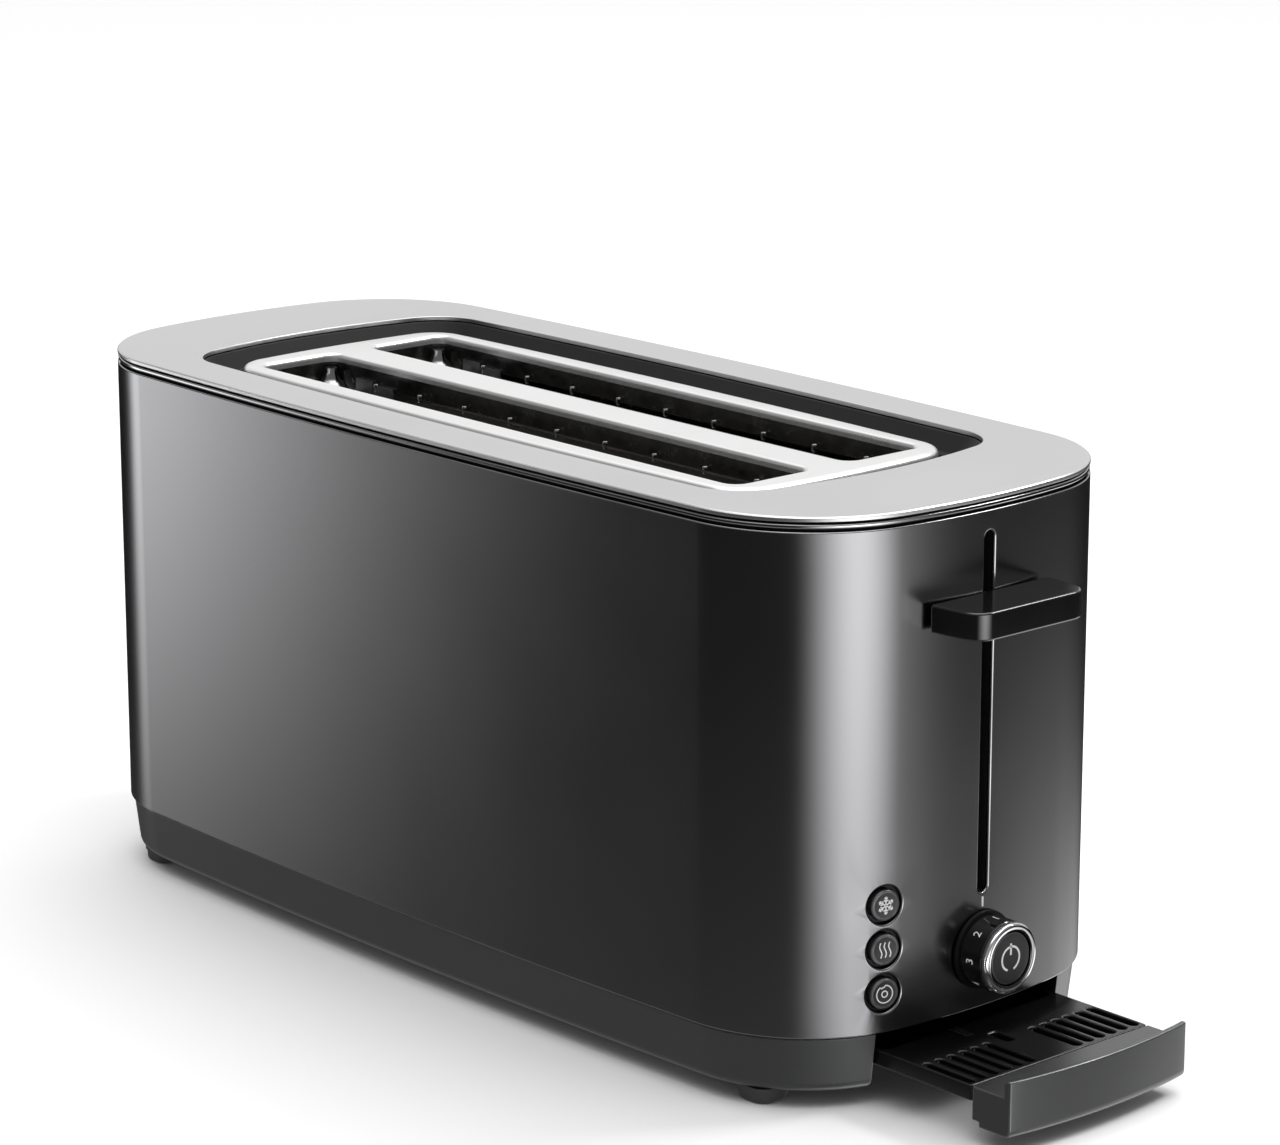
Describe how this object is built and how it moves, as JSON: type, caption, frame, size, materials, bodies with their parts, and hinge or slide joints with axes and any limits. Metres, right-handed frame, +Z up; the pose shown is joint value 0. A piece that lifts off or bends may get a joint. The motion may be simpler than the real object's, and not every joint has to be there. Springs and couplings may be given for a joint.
{
  "type": "pop up toaster",
  "caption": "Long-slot pop-up toaster with two bread slots, side lever, browning dial, push buttons and a pull-out crumb tray.",
  "frame": {"origin": "on the surface it stands on, under the middle of the whole toaster's box with the crumb tray pulled out as modelled", "axes": "+X along the long side towards the lever, dial and crumb tray; +Y across the slots; +Z up"},
  "size_m": [0.4676, 0.17, 0.201],
  "materials": {
    "painted_shell": "satin charcoal paint",
    "brushed_plate": "satin brushed",
    "trim_metal": "polished, dark tint",
    "slot_steel": "satin",
    "sheet_steel": "plain galvanised",
    "polished_wire": "bright drawn wire",
    "spring_steel": "drawn wire",
    "black_plastic": "fine matte",
    "gloss_black": "gloss",
    "base_grey": "fine satin",
    "foot_rubber": "matte",
    "mica": "layered mica sheet",
    "circuit_board": "solder mask",
    "copper_winding": "enamelled wire",
    "bright_chrome": "polished",
    "button_grey": "satin"
  },
  "bodies": {
    "housing": {"outer_shell": "painted_shell", "trim_band": "trim_metal", "top_carrier": "black_plastic", "top_plate": "brushed_plate", "slot_collar": "black_plastic", "slot_frame": "slot_steel", "base_skirt": "base_grey", "bottom_pan": "black_plastic", "foot_1": "foot_rubber", "foot_2": "foot_rubber", "foot_3": "foot_rubber", "foot_4": "foot_rubber", "pan_screw_1": "sheet_steel", "pan_screw_2": "sheet_steel", "pan_screw_3": "sheet_steel", "pan_screw_4": "sheet_steel", "cord_gland": "black_plastic", "terminal_block": "base_grey", "front_chassis_plate": "sheet_steel", "rear_chassis_plate": "sheet_steel", "heat_shield_near": "sheet_steel", "heat_shield_far": "sheet_steel", "heater_board_near": "mica", "heater_board_centre": "mica", "heater_board_far": "mica", "guide_rod": "polished_wire", "lift_spring": "spring_steel", "magnet_core": "sheet_steel", "magnet_coil": "copper_winding", "control_board": "circuit_board", "button_board": "circuit_board", "button_panel": "black_plastic", "dial_encoder": "sheet_steel", "dial_escutcheon": "black_plastic", "slit_liner": "black_plastic", "tray_rail_near": "sheet_steel", "tray_rail_far": "sheet_steel"},
    "carriage": {"carriage_bracket": "sheet_steel", "lever_handle": "gloss_black", "latch_plate": "sheet_steel", "bread_rack_near": "sheet_steel", "bread_rack_far": "sheet_steel"},
    "guide_near_outer": {"guide_near_outer": "polished_wire"},
    "guide_near_inner": {"guide_near_inner": "polished_wire"},
    "guide_far_inner": {"guide_far_inner": "polished_wire"},
    "guide_far_outer": {"guide_far_outer": "polished_wire"},
    "bagel_button": {"bagel_button": "button_grey"},
    "reheat_button": {"reheat_button": "button_grey"},
    "defrost_button": {"defrost_button": "button_grey"},
    "dial": {"dial_knob": "gloss_black", "dial_ring": "bright_chrome"},
    "cancel_button": {"cancel_button": "gloss_black"},
    "crumb_tray": {"tray_panel": "base_grey", "tray_pan": "black_plastic"}
  },
  "joints": [
    {"name": "lever_slide", "type": "slide", "parent": "housing", "child": "carriage", "axis": [0, 0, 1], "range_m": [-0.094, 0.02], "stiffness_N_per_m": 60, "springref_m": 0.0252, "deforming": ["lift_spring"]},
    {"name": "guide_near_outer_lean", "type": "hinge", "parent": "housing", "child": "guide_near_outer", "pos_m": [0, -0.0415, 0.06], "axis": [1, 0, 0], "range_deg": [-5, 1.2]},
    {"name": "guide_near_inner_lean", "type": "hinge", "parent": "housing", "child": "guide_near_inner", "pos_m": [0, -0.0105, 0.06], "axis": [1, 0, 0], "range_deg": [-1.2, 5]},
    {"name": "guide_far_inner_lean", "type": "hinge", "parent": "housing", "child": "guide_far_inner", "pos_m": [0, 0.0105, 0.06], "axis": [1, 0, 0], "range_deg": [-5, 1.2]},
    {"name": "guide_far_outer_lean", "type": "hinge", "parent": "housing", "child": "guide_far_outer", "pos_m": [0, 0.0415, 0.06], "axis": [1, 0, 0], "range_deg": [-1.2, 5]},
    {"name": "bagel_press", "type": "slide", "parent": "housing", "child": "bagel_button", "axis": [-0.9719, 0.2354, 0], "range_m": [0, 0.0014], "stiffness_N_per_m": 400},
    {"name": "reheat_press", "type": "slide", "parent": "housing", "child": "reheat_button", "axis": [-0.9719, 0.2354, 0], "range_m": [0, 0.0014], "stiffness_N_per_m": 400},
    {"name": "defrost_press", "type": "slide", "parent": "housing", "child": "defrost_button", "axis": [-0.9719, 0.2354, 0], "range_m": [0, 0.0014], "stiffness_N_per_m": 400},
    {"name": "dial_turn", "type": "hinge", "parent": "housing", "child": "dial", "pos_m": [0.17625, 0, 0.0464], "axis": [-1, 0, 0], "range_deg": [0, 270]},
    {"name": "cancel_press", "type": "slide", "parent": "housing", "child": "cancel_button", "axis": [-1, 0, 0], "range_m": [0, 0.0016], "stiffness_N_per_m": 400},
    {"name": "tray_slide", "type": "slide", "parent": "housing", "child": "crumb_tray", "axis": [1, 0, 0], "range_m": [-0.06, 0.27]}
  ],
  "couplings": [
    {"joint": "guide_near_outer_lean", "follows": "lever_slide", "rad_per_m": 0.9},
    {"joint": "guide_near_inner_lean", "follows": "lever_slide", "rad_per_m": -0.9},
    {"joint": "guide_far_inner_lean", "follows": "lever_slide", "rad_per_m": 0.9},
    {"joint": "guide_far_outer_lean", "follows": "lever_slide", "rad_per_m": -0.9}
  ]
}
